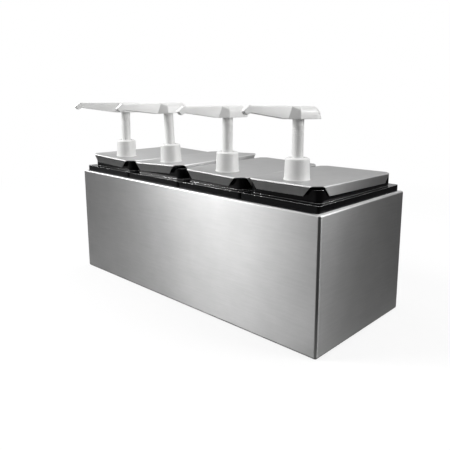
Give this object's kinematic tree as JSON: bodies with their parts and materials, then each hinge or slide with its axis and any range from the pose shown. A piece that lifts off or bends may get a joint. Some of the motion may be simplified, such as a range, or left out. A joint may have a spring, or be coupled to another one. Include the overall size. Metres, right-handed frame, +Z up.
{
  "type": "condiment pump dispenser",
  "caption": "Long open steel box that holds deep drop-in jars side by side, each with a loose folded lid and a spring-return hand pump whose long spout reaches over the front.",
  "frame": {"origin": "middle of the box underside, on the surface that it stands on", "axes": "+X along the row of jars, to the right seen from the front; +Y to the back; +Z up; the spouts point towards -Y"},
  "size_m": [0.558, 0.2813, 0.3305],
  "materials": {
    "steel": "finely brushed stainless sheet",
    "black_gloss": "glossy moulded black plastic",
    "black_fitting": "satin moulded black plastic",
    "white_plastic": "soft gloss moulded white plastic",
    "pale_plastic": "natural milky plastic",
    "wire_steel": "bright spring and ball steel"
  },
  "bodies": {
    "box": {"box_shell": "steel"},
    "jar_1": {"jar_1": "black_gloss"},
    "lid_1": {"lid_1": "steel", "lid_fitting_1": "black_fitting", "collar_washer_1": "white_plastic", "pump_collar_1": "white_plastic", "stem_guide_1": "pale_plastic", "pump_cylinder_1": "white_plastic", "return_spring_1": "wire_steel", "dip_tube_1": "pale_plastic"},
    "plunger_1": {"piston_1": "pale_plastic"},
    "head_1": {"pump_stem_1": "white_plastic", "pump_head_1": "white_plastic"},
    "ball_1": {"valve_ball_1": "wire_steel"},
    "jar_2": {"jar_2": "black_gloss"},
    "lid_2": {"lid_2": "steel", "lid_fitting_2": "black_fitting", "collar_washer_2": "white_plastic", "pump_collar_2": "white_plastic", "stem_guide_2": "pale_plastic", "pump_cylinder_2": "white_plastic", "return_spring_2": "wire_steel", "dip_tube_2": "pale_plastic"},
    "plunger_2": {"piston_2": "pale_plastic"},
    "head_2": {"pump_stem_2": "white_plastic", "pump_head_2": "white_plastic"},
    "ball_2": {"valve_ball_2": "wire_steel"},
    "jar_3": {"jar_3": "black_gloss"},
    "lid_3": {"lid_3": "steel", "lid_fitting_3": "black_fitting", "collar_washer_3": "white_plastic", "pump_collar_3": "white_plastic", "stem_guide_3": "pale_plastic", "pump_cylinder_3": "white_plastic", "return_spring_3": "wire_steel", "dip_tube_3": "pale_plastic"},
    "plunger_3": {"piston_3": "pale_plastic"},
    "head_3": {"pump_stem_3": "white_plastic", "pump_head_3": "white_plastic"},
    "ball_3": {"valve_ball_3": "wire_steel"},
    "jar_4": {"jar_4": "black_gloss"},
    "lid_4": {"lid_4": "steel", "lid_fitting_4": "black_fitting", "collar_washer_4": "white_plastic", "pump_collar_4": "white_plastic", "stem_guide_4": "pale_plastic", "pump_cylinder_4": "white_plastic", "return_spring_4": "wire_steel", "dip_tube_4": "pale_plastic"},
    "plunger_4": {"piston_4": "pale_plastic"},
    "head_4": {"pump_stem_4": "white_plastic", "pump_head_4": "white_plastic"},
    "ball_4": {"valve_ball_4": "wire_steel"}
  },
  "joints": [
    {"name": "jar_1_lift", "type": "slide", "parent": "box", "child": "jar_1", "axis": [0, 0, 1], "range_m": [0, 0.2]},
    {"name": "lid_1_lift", "type": "slide", "parent": "jar_1", "child": "lid_1", "axis": [0, 0, 1], "range_m": [0, 0.2]},
    {"name": "pump_1_press", "type": "slide", "parent": "lid_1", "child": "plunger_1", "axis": [-0.0314, 0, -0.9995], "range_m": [0, 0.038], "stiffness_N_per_m": 400, "springref_m": -0.02, "deforming": ["return_spring_1"]},
    {"name": "head_1_swivel", "type": "hinge", "parent": "plunger_1", "child": "head_1", "pos_m": [-0.20007, -0.0665, 0.3091], "axis": [0.0314, 0, 0.9995], "continuous": true},
    {"name": "ball_1_lift", "type": "slide", "parent": "lid_1", "child": "ball_1", "axis": [0.0314, 0, 0.9995], "range_m": [0, 0.0025]},
    {"name": "jar_2_lift", "type": "slide", "parent": "box", "child": "jar_2", "axis": [0, 0, 1], "range_m": [0, 0.2]},
    {"name": "lid_2_lift", "type": "slide", "parent": "jar_2", "child": "lid_2", "axis": [0, 0, 1], "range_m": [0, 0.2]},
    {"name": "pump_2_press", "type": "slide", "parent": "lid_2", "child": "plunger_2", "axis": [0.0419, 0.0157, -0.999], "range_m": [0, 0.038], "stiffness_N_per_m": 400, "springref_m": -0.02, "deforming": ["return_spring_2"]},
    {"name": "head_2_swivel", "type": "hinge", "parent": "plunger_2", "child": "head_2", "pos_m": [-0.07126, -0.06783, 0.31025], "axis": [-0.0419, -0.0157, 0.999], "continuous": true},
    {"name": "ball_2_lift", "type": "slide", "parent": "lid_2", "child": "ball_2", "axis": [-0.0419, -0.0157, 0.999], "range_m": [0, 0.0025]},
    {"name": "jar_3_lift", "type": "slide", "parent": "box", "child": "jar_3", "axis": [0, 0, 1], "range_m": [0, 0.2]},
    {"name": "lid_3_lift", "type": "slide", "parent": "jar_3", "child": "lid_3", "axis": [0, 0, 1], "range_m": [0, 0.2]},
    {"name": "pump_3_press", "type": "slide", "parent": "lid_3", "child": "plunger_3", "axis": [-0.0157, 0.0035, -0.9999], "range_m": [0, 0.038], "stiffness_N_per_m": 400, "springref_m": -0.02, "deforming": ["return_spring_3"]},
    {"name": "head_3_swivel", "type": "hinge", "parent": "plunger_3", "child": "head_3", "pos_m": [0.07099, -0.06679, 0.30832], "axis": [0.0157, -0.0035, 0.9999], "continuous": true},
    {"name": "ball_3_lift", "type": "slide", "parent": "lid_3", "child": "ball_3", "axis": [0.0157, -0.0035, 0.9999], "range_m": [0, 0.0025]},
    {"name": "jar_4_lift", "type": "slide", "parent": "box", "child": "jar_4", "axis": [0, 0, 1], "range_m": [0, 0.2]},
    {"name": "lid_4_lift", "type": "slide", "parent": "jar_4", "child": "lid_4", "axis": [0, 0, 1], "range_m": [0, 0.2]},
    {"name": "pump_4_press", "type": "slide", "parent": "lid_4", "child": "plunger_4", "axis": [0.007, -0.0157, -0.9999], "range_m": [0, 0.038], "stiffness_N_per_m": 400, "springref_m": -0.02, "deforming": ["return_spring_4"]},
    {"name": "head_4_swivel", "type": "hinge", "parent": "plunger_4", "child": "head_4", "pos_m": [0.20474, -0.06515, 0.31028], "axis": [-0.007, 0.0157, 0.9999], "continuous": true},
    {"name": "ball_4_lift", "type": "slide", "parent": "lid_4", "child": "ball_4", "axis": [-0.007, 0.0157, 0.9999], "range_m": [0, 0.0025]}
  ]
}
